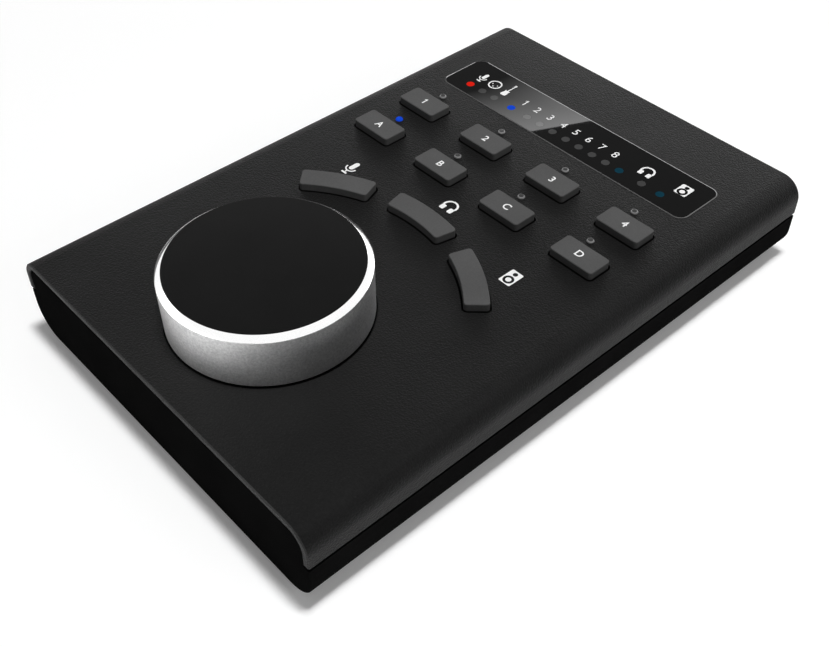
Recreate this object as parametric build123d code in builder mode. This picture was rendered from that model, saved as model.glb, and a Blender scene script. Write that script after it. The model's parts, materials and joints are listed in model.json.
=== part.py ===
from build123d import *

import os
from math import cos, degrees, radians, sin

os.makedirs("parts", exist_ok=True)

# Desktop audio controller: a bent metal shell over a base tray, one large dial, eight rectangular keys,
# three arc keys round the dial and a status window. Millimetres, +Z up, +Y to the rear.
# The origin is under the middle of the case, on the plane that the feet stand on.

# Dial
dial_radius = 25.0
dial_height = 14.95
dial_lift = 0.25
dial_bevel = 1.5
dial_bevel_drop = 1.05
dial_land = 0.08
dial_gap = 0.4
dial_wall = 3.0
dial_plate = 3.0
cap_thickness = 1.2
cap_gap = 0.05
hub_radius = 6.0
hub_wall = 3.0
hub_lift = 0.6

# Keys
key_width = 13.65
key_depth = 7.4
key_corner = 0.9
key_rise = 2.2
key_edge = 0.3
key_gap = 0.5
key_travel = 0.5
key_column_count = 4
key_row_inset = 0.775
key_row_gap = 9.7
key_flange = 1.0
key_flange_lap = 1.0
key_flange_gap = 0.15
key_stem = 4.0
arc_key_depth = 6.3
arc_key_sweep_angle = 23.3
arc_key_step_angle = 31.7

# Places on the top face, each measured from its neighbour
dial_front_margin = 9.5
dial_to_arc = 20.55
arc_to_front_row = 11.15
row_to_window = 9.95
rear_margin = 19.95
window_side_margin = 11.9

# Status window
window_width = 90.2
window_depth = 17.1
window_corner = 3.0
window_thickness = 1.0
window_proud = 0.12
window_bevel = 0.3
window_bevel_drop = 0.1
window_gap = 0.12
window_ledge = 2.5
tape_thickness = 0.15
tape_inset = 0.4
dot_radius = 1.2
dot_flange = 0.4
dot_flange_thickness = 0.6
dot_from_window_front = 4.7
dot_length = 5.0
status_dot_shares = (
    -0.413, -0.357, -0.303, -0.226, -0.156, -0.101, -0.046, 0.009, 0.063, 0.117, 0.171, 0.225, 0.311, 0.380,
)
status_dot_colours = (
    "red", "unlit", "unlit", "blue", "unlit", "unlit", "unlit",
    "unlit", "unlit", "unlit", "unlit", "teal", "unlit", "teal",
)

# Case
case_height = 23.7
foot_stand = 1.0
shell_wall = 1.8
shell_corner = 6.0
shell_drop = 10.1
shell_edge_break = 0.3
seam_gap = 0.9
base_wall = 2.4
base_floor = 2.0
base_corner = 7.8
base_edge = 0.35
end_wall = 2.5
end_inset = 0.1
mouth_gap = 0.3
lip_wall = 1.3
lip_gap = 0.25
lip_height = 3.0
lip_root = 1.5
foot_radius = 6.0
foot_recess = 0.8
foot_gap = 0.1
foot_side_inset = 13.0
foot_end_inset = 27.0

# Fastening
pillar_radius = 3.2
pillar_inset = 11.0
boss_radius = 5.2
boss_height = 2.5
screw_radius = 1.25
screw_thread = 6.0
screw_head_radius = 2.6
screw_head_height = 1.9
screw_head_sink = 0.4
screw_slot = 0.8
screw_slot_depth = 0.7
spacer_radius = 2.5
spacer_inset = 8.5
board_screw_radius = 1.0
board_screw_head_radius = 2.0
board_screw_head_height = 1.4
board_screw_thread = 4.0
thread_gap = 0.05

# Boards and switches
board_drop = 8.7
board_thickness = 1.6
board_side_gap = 5.0
board_front_gap = 2.5
board_rear_gap = 1.0
board_corner = 2.0
pillar_clearance = 0.6
switch_size = 6.0
switch_height = 3.5
plunger_radius = 1.75
plunger_rise = 1.2
plunger_sink = 1.3
plunger_gap = 0.08
switch_bore_spare = 0.2
led_length = 1.6
led_width = 0.8
led_height = 0.7

# Lights behind the keys
lens_radius = 1.05
lens_rise = 0.5
lens_gap = 0.03
lens_flange_radius = 1.6
lens_flange = 1.0
lens_behind_key = 4.0
lens_spread_share = 0.966
lens_shift = 1.7
lens_led_gap = 0.4

# Baffle behind the window
baffle_depth = 3.8
baffle_wall = 1.2
baffle_bore_gap = 0.25

# Encoder under the dial
shaft_radius = 3.0
shaft_flat_share = 0.5
shaft_gap = 0.04
shaft_foot = 2.0
shaft_top_gap = 1.0
neck_radius = 3.5
neck_rise = 3.1
neck_gap = 0.1
encoder_width = 13.2
encoder_depth = 12.4
washer_radius = 6.5
washer_thickness = 0.4
nut_flats = 10.0
nut_thickness = 2.0
well_thickness = 1.5
well_lap = 3.8

# Socket and electronics at the rear
socket_width = 8.9
socket_height = 3.3
socket_length = 7.4
socket_wall = 0.3
socket_back = 0.9
socket_inset = 0.3
socket_gap = 0.25
tongue_width = 6.6
tongue_height = 0.7
tongue_length = 5.4
electronics_from_rear = 18.0
chip_size = 10.0
chip_height = 1.2
crystal_length = 5.0
crystal_width = 3.2
crystal_height = 1.2
regulator_length = 6.5
regulator_width = 3.6
regulator_height = 1.7
capacitor_radius = 2.1
capacitor_height = 5.4
capacitor_gap = 1.8
capacitor_count = 3
chip_place_share = -0.30
crystal_place_share = -0.52
regulator_place_share = 0.24
capacitor_place_share = 0.52

overrun = 1.0

# Levels
base_under = foot_stand
floor_top = base_under + base_floor
shell_top = foot_stand + case_height
shell_under = shell_top - shell_wall
seam_top = shell_top - shell_drop
base_top = seam_top - seam_gap
base_height = base_top - base_under
board_top = shell_under - board_drop
board_under = board_top - board_thickness
key_top = shell_top + key_rise
key_flange_top = shell_under - key_flange_gap
key_flange_under = key_flange_top - key_flange
switch_top = board_top + switch_height
plunger_top = switch_top + plunger_rise
plunger_under = switch_top - plunger_sink
dial_under = shell_top + dial_lift
dial_top = shell_top + dial_height
cap_under = dial_top - cap_thickness
dial_plate_under = cap_under - dial_plate
well_under = shell_under - well_thickness
washer_top = shell_under + washer_thickness
nut_top = washer_top + nut_thickness
neck_top = shell_under + neck_rise
hub_under = neck_top + hub_lift
window_top = shell_top + window_proud
window_under = window_top - window_thickness
ledge_top = window_under - tape_thickness
dot_flange_under = window_under - dot_flange_thickness
dot_under = dot_flange_under - dot_length
led_top = board_top + led_height
boss_top = floor_top + boss_height

# Places in plan
arc_key_inner = dial_radius + dial_to_arc
arc_key_outer = arc_key_inner + arc_key_depth
arc_key_radius = (arc_key_inner + arc_key_outer) / 2
key_pitch = (window_width - 2 * key_row_inset - key_width) / (key_column_count - 1)
key_row_pitch = key_depth + key_row_gap
case_width = window_width + 2 * window_side_margin
half_width = case_width / 2
dial_to_front_row = arc_key_outer + arc_to_front_row + key_depth / 2
front_edge_to_dial = dial_front_margin + dial_radius
rear_row_to_rear_edge = key_depth / 2 + row_to_window + window_depth + rear_margin
case_length = front_edge_to_dial + dial_to_front_row + key_row_pitch + rear_row_to_rear_edge
half_length = case_length / 2
dial_y = front_edge_to_dial - half_length
front_row_y = dial_y + dial_to_front_row
rear_row_y = front_row_y + key_row_pitch
window_front = rear_row_y + key_depth / 2 + row_to_window
window_y = window_front + window_depth / 2
dot_y = window_front + dot_from_window_front
base_length = case_length - 2 * end_inset
wall_inside = base_length / 2 - end_wall
board_front = board_front_gap - wall_inside
board_rear = wall_inside - board_rear_gap
board_width = case_width - 2 * board_side_gap
board_length = board_rear - board_front
board_y = (board_front + board_rear) / 2
electronics_y = half_length - electronics_from_rear
pillar_x = half_width - pillar_inset
pillar_y = half_length - pillar_inset
foot_x = half_width - foot_side_inset
foot_y = half_length - foot_end_inset
spacer_x = half_width - spacer_inset
spacer_rows = (
    dial_y + dial_radius + dial_to_arc / 2,
    front_row_y - key_depth / 2 - arc_to_front_row / 2,
    window_front - row_to_window / 2,
)
pillar_places = [(x, y) for x in (-pillar_x, pillar_x) for y in (-pillar_y, pillar_y)]
foot_places = [(x, y) for x in (-foot_x, foot_x) for y in (-foot_y, foot_y)]
spacer_places = [(x, y) for x in (-spacer_x, spacer_x) for y in spacer_rows]
column_places = [(column - (key_column_count - 1) / 2) * key_pitch for column in range(key_column_count)]
dot_places = [(share * window_width, dot_y) for share in status_dot_shares]


def on_dial_circle(radius, angle):
    """Point at a radius from the dial's axis, with the angle taken from +Y towards +X."""
    return (radius * sin(radians(angle)), dial_y + radius * cos(radians(angle)))


def lens_place(column_x, row_y):
    """Centre of the light behind the key in this column and row."""
    return (column_x * lens_spread_share - lens_shift, row_y + key_depth / 2 + lens_behind_key)


# Every key: its name, the middle of its cap and, for an arc key, its angle round the dial
rectangular_keys = [(f"key_{number + 1}", x, rear_row_y) for number, x in enumerate(column_places)]
rectangular_keys += [(f"key_{letter}", x, front_row_y) for letter, x in zip("abcd", column_places)]
arc_keys = [
    ("key_mic", -arc_key_step_angle),
    ("key_headphones", 0.0),
    ("key_speakers", arc_key_step_angle),
]
key_middles = {name: (x, y) for name, x, y in rectangular_keys}
key_middles.update({name: on_dial_circle(arc_key_radius, angle) for name, angle in arc_keys})
lens_places = {name: lens_place(x, y) for name, x, y in rectangular_keys}
lit_key = "key_a"


def rectangular_plan(x, y, margin):
    """Plan of a rectangular key, grown by the margin on every side."""
    with BuildSketch() as plan:
        with Locations((x, y)):
            RectangleRounded(key_width + 2 * margin, key_depth + 2 * margin, key_corner + margin)
    return plan.sketch


def arc_plan(angle, margin):
    """Plan of an arc key about the dial's axis, grown by the margin on every side."""
    inner = arc_key_inner - margin
    outer = arc_key_outer + margin
    spread = arc_key_sweep_angle + 2 * degrees(margin / arc_key_radius)
    start = 90.0 - angle - spread / 2
    with BuildSketch() as plan:
        with BuildLine():
            far = CenterArc((0, dial_y), outer, start, spread)
            near = CenterArc((0, dial_y), inner, start, spread)
            Line(far @ 0, near @ 0)
            Line(far @ 1, near @ 1)
        make_face()
        fillet(plan.vertices(), key_corner + margin)
    return plan.sketch


def key_plan(name, margin):
    """Plan of the key with this name, grown by the margin."""
    for arc_name, angle in arc_keys:
        if arc_name == name:
            return arc_plan(angle, margin)
    x, y = key_middles[name]
    return rectangular_plan(x, y, margin)


def save(piece, name):
    """Labels a finished piece and writes it under its node's name."""
    piece.part.label = name
    export_step(piece.part, f"parts/{name}.step")


# Top shell: one profile along the case, with the openings of the top face cut through it
with BuildPart() as top_shell:
    with BuildSketch(Plane.XZ):
        with Locations((0, shell_top)):
            RectangleRounded(case_width, 2 * shell_drop, shell_corner, align=(Align.CENTER, Align.MAX))
        with Locations((0, shell_under)):
            RectangleRounded(
                case_width - 2 * shell_wall,
                2 * shell_drop,
                shell_corner - shell_wall,
                align=(Align.CENTER, Align.MAX),
                mode=Mode.SUBTRACT,
            )
        with Locations((0, seam_top)):
            Rectangle(case_width, 2 * shell_drop, align=(Align.CENTER, Align.MAX), mode=Mode.SUBTRACT)
    extrude(amount=half_length, both=True)
    chamfer(top_shell.faces().filter_by(Axis.Y).edges(), shell_edge_break)
    with BuildSketch(Plane.XY.offset(shell_top + overrun)):
        with Locations((0, dial_y)):
            Circle(dial_radius + dial_gap)
        for key_name in key_middles:
            add(key_plan(key_name, key_gap))
        with Locations(*lens_places.values()):
            Circle(lens_radius + lens_gap)
        with Locations((0, window_y)):
            Rectangle(window_width - 2 * window_ledge, window_depth - 2 * window_ledge)
    extrude(amount=-shell_wall - 2 * overrun, mode=Mode.SUBTRACT)
    with BuildSketch(Plane.XY.offset(ledge_top)):
        with Locations((0, window_y)):
            RectangleRounded(
                window_width + 2 * window_gap,
                window_depth + 2 * window_gap,
                window_corner + window_gap,
            )
    extrude(amount=shell_top - ledge_top + overrun, mode=Mode.SUBTRACT)
save(top_shell, "top_shell")

# Base tray: a trough with rounded lower edges, lips that stand inside the shell and a tall front wall
lip_outside = half_width - shell_wall - lip_gap
lip_inside = lip_outside - lip_wall
lip_foot_outside = half_width - base_wall / 2
mouth_top = shell_under - mouth_gap
mouth_width = case_width - 2 * (shell_wall + mouth_gap)
mouth_corner = shell_corner - shell_wall - mouth_gap
front_wall_height = mouth_top - floor_top
with BuildPart() as base_tray:
    with BuildSketch(Plane.XZ):
        with Locations((0, base_under)):
            RectangleRounded(case_width, 2 * base_height, base_corner, align=(Align.CENTER, Align.MIN))
        with Locations((0, base_top)):
            Rectangle(case_width, 2 * base_height, align=(Align.CENTER, Align.MIN), mode=Mode.SUBTRACT)
    extrude(amount=base_length / 2, both=True)
    with BuildSketch(Plane.XZ):
        with Locations((0, floor_top)):
            RectangleRounded(
                case_width - 2 * base_wall,
                2 * base_height,
                base_corner - base_wall,
                align=(Align.CENTER, Align.MIN),
            )
    extrude(amount=wall_inside, both=True, mode=Mode.SUBTRACT)
    with BuildSketch(Plane.XZ):
        for side in (-1, 1):
            with Locations((side * (lip_inside + lip_outside) / 2, base_top - lip_root)):
                Rectangle(lip_wall, lip_root + lip_height, align=(Align.CENTER, Align.MIN))
            with Locations((side * (lip_inside + lip_foot_outside) / 2, base_top - lip_root)):
                Rectangle(lip_foot_outside - lip_inside, lip_root, align=(Align.CENTER, Align.MIN))
    extrude(amount=wall_inside, both=True)
    with BuildSketch(Plane.XZ.offset(wall_inside)):
        with Locations((0, mouth_top)):
            RectangleRounded(mouth_width, front_wall_height, mouth_corner, align=(Align.CENTER, Align.MAX))
    extrude(amount=end_wall)
    fillet(base_tray.faces().filter_by(Axis.Y).group_by(Axis.Y)[0].edges(), base_edge)
    fillet(base_tray.faces().filter_by(Axis.Y).group_by(Axis.Y)[-1].edges(), base_edge)
    with BuildSketch(Plane.XY.offset(floor_top)):
        with Locations(*pillar_places):
            Circle(boss_radius)
    extrude(amount=boss_height)
    with BuildSketch(Plane.XY.offset(base_under)):
        with Locations(*foot_places):
            Circle(foot_radius + foot_gap)
    extrude(amount=foot_recess, mode=Mode.SUBTRACT)
    with BuildSketch(Plane.XY.offset(base_under)):
        with Locations(*pillar_places):
            Circle(screw_head_radius + thread_gap)
    extrude(amount=screw_head_sink + screw_head_height, mode=Mode.SUBTRACT)
    with BuildSketch(Plane.XY.offset(base_under)):
        with Locations(*pillar_places):
            Circle(screw_radius + thread_gap)
    extrude(amount=base_floor + boss_height + overrun, mode=Mode.SUBTRACT)
save(base_tray, "base_tray")

# Rear panel: it stands on the tray, closes the shell's mouth and has a notch over the socket
panel_height = mouth_top - base_top
socket_mouth_z = board_top + socket_height / 2
notch_width = socket_width + 2 * socket_gap
with BuildPart() as rear_panel:
    with BuildSketch(Plane.XZ.offset(-base_length / 2)):
        with Locations((0, mouth_top)):
            RectangleRounded(mouth_width, 2 * panel_height, mouth_corner, align=(Align.CENTER, Align.MAX))
        with Locations((0, base_top)):
            Rectangle(mouth_width, 2 * panel_height, align=(Align.CENTER, Align.MAX), mode=Mode.SUBTRACT)
    extrude(amount=end_wall)
    fillet(rear_panel.faces().sort_by(Axis.Y)[-1].edges(), base_edge)
    with BuildSketch(Plane.XZ.offset(-base_length / 2 - overrun)):
        with Locations((0, socket_mouth_z)):
            SlotOverall(notch_width, socket_height + 2 * socket_gap)
            Rectangle(notch_width, socket_mouth_z - base_top + overrun, align=(Align.CENTER, Align.MAX))
    extrude(amount=end_wall + 2 * overrun, mode=Mode.SUBTRACT)
save(rear_panel, "rear_panel")

# Feet in the recesses of the base
with BuildPart() as rubber_feet:
    with BuildSketch():
        with Locations(*foot_places):
            Circle(foot_radius)
    extrude(amount=foot_stand + foot_recess)
    fillet(rubber_feet.faces().sort_by(Axis.Z)[:4].edges(), foot_stand / 2)
save(rubber_feet, "rubber_feet")

# Pillars that hang from the shell and take the screws of the base
screw_tip = boss_top + screw_thread
with BuildPart() as case_pillars:
    with BuildSketch(Plane.XY.offset(boss_top)):
        with Locations(*pillar_places):
            RegularPolygon(pillar_radius, 6)
    extrude(amount=shell_under - boss_top)
    with BuildSketch(Plane.XY.offset(boss_top - overrun)):
        with Locations(*pillar_places):
            Circle(screw_radius + thread_gap)
    extrude(amount=screw_thread + 2 * overrun, mode=Mode.SUBTRACT)
save(case_pillars, "case_pillars")

# Screws of the base, with slotted round heads sunk in their bores
screw_head_under = base_under + screw_head_sink
screw_head_top = screw_head_under + screw_head_height
with BuildPart() as base_screws:
    with BuildSketch(Plane.XY.offset(screw_head_under)):
        with Locations(*pillar_places):
            Circle(screw_head_radius)
    extrude(amount=screw_head_height)
    with BuildSketch(Plane.XY.offset(screw_head_top)):
        with Locations(*pillar_places):
            Circle(screw_radius)
    extrude(amount=screw_tip - screw_head_top)
    with BuildSketch(Plane.XY.offset(screw_head_under)):
        with Locations(*pillar_places):
            Rectangle(2 * screw_head_radius, screw_slot)
    extrude(amount=screw_slot_depth, mode=Mode.SUBTRACT)
save(base_screws, "base_screws")

# Main board, with clearance round the pillars and a hole for each of its screws
with BuildPart() as main_board:
    with BuildSketch(Plane.XY.offset(board_under)):
        with Locations((0, board_y)):
            RectangleRounded(board_width, board_length, board_corner)
        with Locations(*pillar_places):
            Circle(pillar_radius + pillar_clearance, mode=Mode.SUBTRACT)
        with Locations(*spacer_places):
            Circle(board_screw_radius + thread_gap, mode=Mode.SUBTRACT)
    extrude(amount=board_thickness)
save(main_board, "main_board")

# Spacers between the shell and the board
with BuildPart() as board_spacers:
    with BuildSketch(Plane.XY.offset(board_top)):
        with Locations(*spacer_places):
            Circle(spacer_radius)
    extrude(amount=board_drop)
    with BuildSketch(Plane.XY.offset(board_top)):
        with Locations(*spacer_places):
            Circle(board_screw_radius + thread_gap)
    extrude(amount=board_screw_thread + overrun, mode=Mode.SUBTRACT)
save(board_spacers, "board_spacers")

# Screws that hold the board to its spacers from below
with BuildPart() as board_screws:
    with BuildSketch(Plane.XY.offset(board_under - board_screw_head_height)):
        with Locations(*spacer_places):
            Circle(board_screw_head_radius)
    extrude(amount=board_screw_head_height)
    with BuildSketch(Plane.XY.offset(board_under)):
        with Locations(*spacer_places):
            Circle(board_screw_radius)
    extrude(amount=board_thickness + board_screw_thread)
save(board_screws, "board_screws")

# Status window with a hole for each dot, and the tape frame that it is stuck down with
with BuildPart() as display_window:
    with BuildSketch(Plane.XY.offset(window_under)):
        with Locations((0, window_y)):
            RectangleRounded(window_width, window_depth, window_corner)
    extrude(amount=window_thickness)
    window_face = display_window.faces().sort_by(Axis.Z)[-1]
    chamfer(window_face.edges(), window_bevel, window_bevel_drop, reference=window_face)
    with BuildSketch(Plane.XY.offset(window_under)):
        with Locations(*dot_places):
            Circle(dot_radius + lens_gap)
    extrude(amount=window_thickness + overrun, mode=Mode.SUBTRACT)
save(display_window, "display_window")

tape_width = window_width - 2 * tape_inset
tape_depth = window_depth - 2 * tape_inset
with BuildPart() as window_tape:
    with BuildSketch(Plane.XY.offset(ledge_top)):
        with Locations((0, window_y)):
            RectangleRounded(tape_width, tape_depth, window_corner - tape_inset)
            Rectangle(window_width - 2 * window_ledge, window_depth - 2 * window_ledge, mode=Mode.SUBTRACT)
    extrude(amount=tape_thickness)
save(window_tape, "window_tape")


def status_lenses(colour):
    """Lens studs of one colour: a face in the window, a flange under it and a light guide."""
    places = [place for place, dot_colour in zip(dot_places, status_dot_colours) if dot_colour == colour]
    with BuildPart() as lenses:
        with BuildSketch(Plane.XY.offset(dot_under)):
            with Locations(*places):
                Circle(dot_radius)
        extrude(amount=window_top - dot_under)
        with BuildSketch(Plane.XY.offset(dot_flange_under)):
            with Locations(*places):
                Circle(dot_radius + dot_flange)
        extrude(amount=dot_flange_thickness)
    return lenses


save(status_lenses("red"), "status_lens_red")
save(status_lenses("blue"), "status_lens_blue")
save(status_lenses("teal"), "status_lens_teal")
save(status_lenses("unlit"), "status_lenses_unlit")

# Baffle: a bar on the board with one bore for each dot
baffle_first = dot_places[0][0] - dot_radius - dot_flange - baffle_wall
baffle_last = dot_places[-1][0] + dot_radius + dot_flange + baffle_wall
with BuildPart() as light_baffle:
    with BuildSketch(Plane.XY.offset(board_top)):
        with Locations(((baffle_first + baffle_last) / 2, dot_y)):
            Rectangle(baffle_last - baffle_first, baffle_depth)
        with Locations(*dot_places):
            Circle(dot_radius + baffle_bore_gap, mode=Mode.SUBTRACT)
    extrude(amount=dot_flange_under - board_top)
save(light_baffle, "light_baffle")

# Light-emitting diodes on the board
with BuildPart() as status_leds:
    with BuildSketch(Plane.XY.offset(board_top)):
        with Locations(*dot_places):
            Rectangle(led_length, led_width)
    extrude(amount=led_height)
save(status_leds, "status_leds")

with BuildPart() as key_leds:
    with BuildSketch(Plane.XY.offset(board_top)):
        with Locations(*lens_places.values()):
            Rectangle(led_length, led_width)
    extrude(amount=led_height)
save(key_leds, "key_leds")


def light_pipes(key_names):
    """Round light pipes behind the named keys: a domed head in the shell, a flange under it and a stem."""
    places = [lens_places[key_name] for key_name in key_names]
    pipe_under = led_top + lens_led_gap
    with BuildPart() as pipes:
        with BuildSketch(Plane.XY.offset(pipe_under)):
            with Locations(*places):
                Circle(lens_radius)
        extrude(amount=shell_top + lens_rise - pipe_under)
        fillet(pipes.edges().group_by(Axis.Z)[-1], lens_rise)
        with BuildSketch(Plane.XY.offset(shell_under - lens_flange)):
            with Locations(*places):
                Circle(lens_flange_radius)
        extrude(amount=lens_flange)
    return pipes


save(light_pipes([key_name for key_name in lens_places if key_name != lit_key]), "key_light_pipes")
save(light_pipes([lit_key]), "key_light_pipe_a")

# Keys: a cap above the shell, a flange that keeps it in and a stem down to its switch
for key_name, middle in key_middles.items():
    with BuildPart() as key:
        with BuildSketch(Plane.XY.offset(key_flange_under)):
            add(key_plan(key_name, 0))
        extrude(amount=key_top - key_flange_under)
        fillet(key.faces().sort_by(Axis.Z)[-1].edges(), key_edge)
        with BuildSketch(Plane.XY.offset(key_flange_under)):
            add(key_plan(key_name, key_flange_lap))
        extrude(amount=key_flange)
        with BuildSketch(Plane.XY.offset(plunger_top)):
            with Locations(middle):
                Rectangle(key_stem, key_stem)
        extrude(amount=key_flange_under - plunger_top)
    save(key, key_name)

# Switches: one housing and one plunger under each key
with BuildPart() as switch_housings:
    with BuildSketch(Plane.XY.offset(board_top)):
        with Locations(*key_middles.values()):
            Rectangle(switch_size, switch_size)
    extrude(amount=switch_height)
    with BuildSketch(Plane.XY.offset(plunger_under - key_travel - switch_bore_spare)):
        with Locations(*key_middles.values()):
            Circle(plunger_radius + plunger_gap)
    extrude(amount=plunger_sink + key_travel + switch_bore_spare + overrun, mode=Mode.SUBTRACT)
save(switch_housings, "switch_housings")

for key_name, middle in key_middles.items():
    with BuildPart() as plunger:
        with BuildSketch(Plane.XY.offset(plunger_under)):
            with Locations(middle):
                Circle(plunger_radius)
        extrude(amount=plunger_top - plunger_under)
    save(plunger, key_name.replace("key_", "plunger_"))

# Dial: a turned ring with a bevelled rim, the disc in its top, and the hub in its boss
dial_axis = Axis((0, dial_y, 0), (0, 0, 1))
dial_plane = Plane.XZ.offset(-dial_y)
cap_radius = dial_radius - dial_bevel - dial_land
boss_outside = hub_radius + hub_wall
with BuildPart() as dial_ring:
    with BuildSketch(dial_plane):
        with BuildLine():
            Polyline(
                (hub_radius, hub_under),
                (boss_outside, hub_under),
                (boss_outside, dial_plate_under),
                (dial_radius - dial_wall, dial_plate_under),
                (dial_radius - dial_wall, dial_under),
                (dial_radius, dial_under),
                (dial_radius, dial_top - dial_bevel_drop),
                (dial_radius - dial_bevel, dial_top),
                (cap_radius + cap_gap, dial_top),
                (cap_radius + cap_gap, cap_under),
                (0, cap_under),
                (0, dial_plate_under),
                (hub_radius, dial_plate_under),
                close=True,
            )
        make_face()
    revolve(axis=dial_axis)
save(dial_ring, "dial_ring")

with BuildPart() as dial_cap:
    with BuildSketch(Plane.XY.offset(cap_under)):
        with Locations((0, dial_y)):
            Circle(cap_radius)
    extrude(amount=cap_thickness)
save(dial_cap, "dial_cap")


def shaft_section(radius):
    """Round section with one flat, as the shaft and the hub's bore have."""
    flat = shaft_radius * shaft_flat_share + radius - shaft_radius
    with BuildSketch() as section:
        with Locations((0, dial_y)):
            Circle(radius)
        with Locations((0, dial_y + flat)):
            Rectangle(2 * radius, 2 * radius, align=(Align.CENTER, Align.MIN), mode=Mode.SUBTRACT)
    return section.sketch


shaft_top = dial_plate_under - shaft_top_gap
with BuildPart() as dial_hub:
    with BuildSketch(Plane.XY.offset(hub_under)):
        with Locations((0, dial_y)):
            Circle(hub_radius - cap_gap)
        add(shaft_section(shaft_radius + shaft_gap), mode=Mode.SUBTRACT)
    extrude(amount=dial_plate_under - hub_under)
save(dial_hub, "dial_hub")

# Encoder: its shaft, its housing with the threaded neck, the washer, the nut and the plate that carries it
shaft_under = board_top + shaft_foot
with BuildPart() as encoder_shaft:
    with BuildSketch(Plane.XY.offset(shaft_under)):
        with Locations((0, dial_y)):
            Circle(shaft_radius)
    extrude(amount=neck_top - shaft_under)
    with BuildSketch(Plane.XY.offset(neck_top)):
        add(shaft_section(shaft_radius))
    extrude(amount=shaft_top - neck_top)
save(encoder_shaft, "encoder_shaft")

with BuildPart() as encoder_housing:
    with BuildSketch(Plane.XY.offset(board_top)):
        with Locations((0, dial_y)):
            Rectangle(encoder_width, encoder_depth)
    extrude(amount=well_under - board_top)
    with BuildSketch(Plane.XY.offset(well_under)):
        with Locations((0, dial_y)):
            Circle(neck_radius)
    extrude(amount=neck_top - well_under)
    with BuildSketch(Plane.XY.offset(shaft_under)):
        with Locations((0, dial_y)):
            Circle(shaft_radius + shaft_gap)
    extrude(amount=neck_top - shaft_under + overrun, mode=Mode.SUBTRACT)
save(encoder_housing, "encoder_housing")

with BuildPart() as encoder_washer:
    with BuildSketch(Plane.XY.offset(shell_under)):
        with Locations((0, dial_y)):
            Circle(washer_radius)
            Circle(neck_radius + neck_gap, mode=Mode.SUBTRACT)
    extrude(amount=washer_thickness)
save(encoder_washer, "encoder_washer")

with BuildPart() as encoder_nut:
    with BuildSketch(Plane.XY.offset(washer_top)):
        with Locations((0, dial_y)):
            RegularPolygon(nut_flats / 2, 6, major_radius=False)
            Circle(neck_radius + thread_gap, mode=Mode.SUBTRACT)
    extrude(amount=nut_thickness)
save(encoder_nut, "encoder_nut")

with BuildPart() as dial_well:
    with BuildSketch(Plane.XY.offset(well_under)):
        with Locations((0, dial_y)):
            Circle(dial_radius + dial_gap + well_lap)
            Circle(neck_radius + neck_gap, mode=Mode.SUBTRACT)
    extrude(amount=well_thickness)
save(dial_well, "dial_well")

# Socket in the rear wall: a pressed shell and the tongue inside it
socket_rear = base_length / 2 - socket_inset
socket_front = socket_rear - socket_length
tongue_front = socket_front + socket_back
with BuildPart() as usb_socket_shell:
    with BuildSketch(Plane.XZ.offset(-socket_rear)):
        with Locations((0, socket_mouth_z)):
            SlotOverall(socket_width, socket_height)
    extrude(amount=socket_length)
    with BuildSketch(Plane.XZ.offset(-socket_rear)):
        with Locations((0, socket_mouth_z)):
            SlotOverall(socket_width - 2 * socket_wall, socket_height - 2 * socket_wall)
    extrude(amount=socket_length - socket_back, mode=Mode.SUBTRACT)
save(usb_socket_shell, "usb_socket_shell")

with BuildPart() as usb_socket_tongue:
    with BuildSketch(Plane.XZ.offset(-tongue_front)):
        with Locations((0, socket_mouth_z)):
            Rectangle(tongue_width, tongue_height)
    extrude(amount=-tongue_length)
save(usb_socket_tongue, "usb_socket_tongue")


def board_block(place_share, length, width, height):
    """Rectangular component on the board, in the row of electronics at the rear."""
    with BuildPart() as block:
        with BuildSketch(Plane.XY.offset(board_top)):
            with Locations((place_share * half_width, electronics_y)):
                Rectangle(length, width)
        extrude(amount=height)
    return block


save(board_block(chip_place_share, chip_size, chip_size, chip_height), "controller_chip")
save(board_block(crystal_place_share, crystal_length, crystal_width, crystal_height), "clock_crystal")
voltage_regulator = board_block(regulator_place_share, regulator_length, regulator_width, regulator_height)
save(voltage_regulator, "voltage_regulator")

with BuildPart() as capacitors:
    with BuildSketch(Plane.XY.offset(board_top)):
        with Locations((capacitor_place_share * half_width, electronics_y)):
            with GridLocations(2 * capacitor_radius + capacitor_gap, 0, capacitor_count, 1):
                Circle(capacitor_radius)
    extrude(amount=capacitor_height)
save(capacitors, "capacitors")
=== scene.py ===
import json
from math import atan2, cos, pi, radians, sin

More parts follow.
